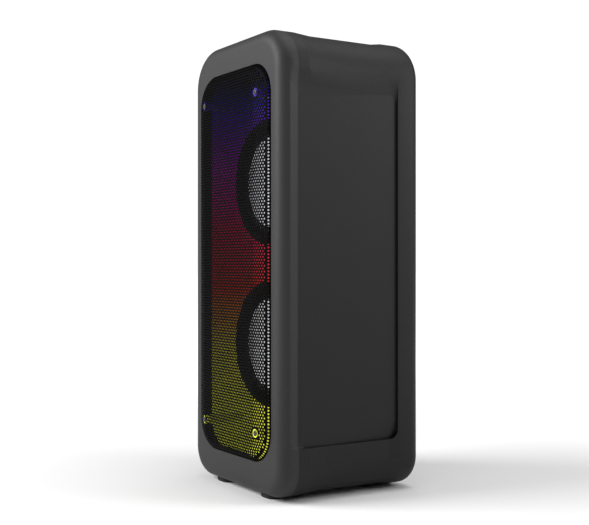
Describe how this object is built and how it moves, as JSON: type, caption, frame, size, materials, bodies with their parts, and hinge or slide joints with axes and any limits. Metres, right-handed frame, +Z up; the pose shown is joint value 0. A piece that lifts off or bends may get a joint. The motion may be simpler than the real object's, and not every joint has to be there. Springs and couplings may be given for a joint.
{
  "type": "party speaker",
  "caption": "Tall portable party speaker with rounded corners, a formed grille over a lit tunnel and woofers, top keys, a rear grip, port and sockets, on rubber feet.",
  "frame": {"origin": "on the floor under the middle of the object's box", "axes": "+Z up, the grille faces -Y, +X is to the right seen from the front"},
  "size_m": [0.277, 0.257, 0.68],
  "materials": {
    "shell_plastic": "moulded, fine texture",
    "grille_steel": "powder coated, perforated",
    "steel": "zinc plated",
    "black_steel": "satin",
    "tunnel_plastic": "translucent diffuser",
    "clear_plastic": "clear",
    "board": "circuit board",
    "baffle_board": "dark fibreboard",
    "foam": "closed-cell",
    "rubber": "matt",
    "cone_paper": "coated pulp",
    "cap_plastic": "metallised",
    "cloth": "resin-stiffened weave",
    "coil": "polyimide former with copper winding",
    "ferrite": "ferrite",
    "plated": "plated",
    "sink": "extruded",
    "port_plastic": "moulded",
    "panel_plastic": "fine texture",
    "key_rubber": "silicone",
    "battery_wrap": "shrink sleeve",
    "can": "sleeved cans"
  },
  "bodies": {
    "housing": {"aux_socket": "port_plastic", "baffle": "baffle_board", "baffle_gasket": "foam", "bass_port": "port_plastic", "battery_bracket": "steel", "battery_pack": "battery_wrap", "cabinet": "shell_plastic", "cabinet_screws": "black_steel", "capacitors": "can", "connection_panel": "panel_plastic", "control_board": "board", "control_panel": "panel_plastic", "foot_front_left": "rubber", "foot_front_right": "rubber", "foot_rear_left": "rubber", "foot_rear_right": "rubber", "frame_screws": "steel", "front_frame": "shell_plastic", "grille": "grille_steel", "grille_screws": "black_steel", "grille_standoffs": "clear_plastic", "grip_cup": "port_plastic", "heat_sink": "sink", "led_strip_left": "board", "led_strip_right": "board", "light_tunnel": "tunnel_plastic", "lower_woofer_basket": "black_steel", "lower_woofer_front_plate": "plated", "lower_woofer_magnet": "ferrite", "lower_woofer_pole_yoke": "plated", "lower_woofer_screws": "black_steel", "lower_woofer_spider": "cloth", "lower_woofer_surround": "rubber", "main_board": "board", "mic_socket_1": "port_plastic", "mic_socket_2": "port_plastic", "power_inlet": "port_plastic", "rear_panel": "shell_plastic", "rear_screws": "black_steel", "upper_woofer_basket": "black_steel", "upper_woofer_front_plate": "plated", "upper_woofer_magnet": "ferrite", "upper_woofer_pole_yoke": "plated", "upper_woofer_screws": "black_steel", "upper_woofer_spider": "cloth", "upper_woofer_surround": "rubber", "usb_socket": "steel"},
    "power_key": {"power_key": "key_rubber"},
    "pair_key": {"pair_key": "key_rubber"},
    "volume_down_key": {"volume_down_key": "key_rubber"},
    "play_key": {"play_key": "key_rubber"},
    "volume_up_key": {"volume_up_key": "key_rubber"},
    "light_key": {"light_key": "key_rubber"},
    "bass_key": {"bass_key": "key_rubber"},
    "upper_cone": {"upper_woofer_cone": "cone_paper", "upper_woofer_dust_cap": "cap_plastic", "upper_woofer_voice_coil": "coil"},
    "lower_cone": {"lower_woofer_cone": "cone_paper", "lower_woofer_dust_cap": "cap_plastic", "lower_woofer_voice_coil": "coil"}
  },
  "joints": [
    {"name": "power_press", "type": "slide", "parent": "housing", "child": "power_key", "axis": [0, 0, -1], "range_m": [0, 0.001], "stiffness_N_per_m": 400},
    {"name": "pair_press", "type": "slide", "parent": "housing", "child": "pair_key", "axis": [0, 0, -1], "range_m": [0, 0.001], "stiffness_N_per_m": 400},
    {"name": "volume_down_press", "type": "slide", "parent": "housing", "child": "volume_down_key", "axis": [0, 0, -1], "range_m": [0, 0.001], "stiffness_N_per_m": 400},
    {"name": "play_press", "type": "slide", "parent": "housing", "child": "play_key", "axis": [0, 0, -1], "range_m": [0, 0.001], "stiffness_N_per_m": 400},
    {"name": "volume_up_press", "type": "slide", "parent": "housing", "child": "volume_up_key", "axis": [0, 0, -1], "range_m": [0, 0.001], "stiffness_N_per_m": 400},
    {"name": "light_press", "type": "slide", "parent": "housing", "child": "light_key", "axis": [0, 0, -1], "range_m": [0, 0.001], "stiffness_N_per_m": 400},
    {"name": "bass_press", "type": "slide", "parent": "housing", "child": "bass_key", "axis": [0, 0, -1], "range_m": [0, 0.001], "stiffness_N_per_m": 400},
    {"name": "upper_cone_stroke", "type": "slide", "parent": "housing", "child": "upper_cone", "axis": [0, -1, 0], "range_m": [-0.005, 0.005], "stiffness_N_per_m": 2500, "deforming": ["upper_woofer_surround", "upper_woofer_spider"]},
    {"name": "lower_cone_stroke", "type": "slide", "parent": "housing", "child": "lower_cone", "axis": [0, -1, 0], "range_m": [-0.005, 0.005], "stiffness_N_per_m": 2500, "deforming": ["lower_woofer_surround", "lower_woofer_spider"]}
  ]
}
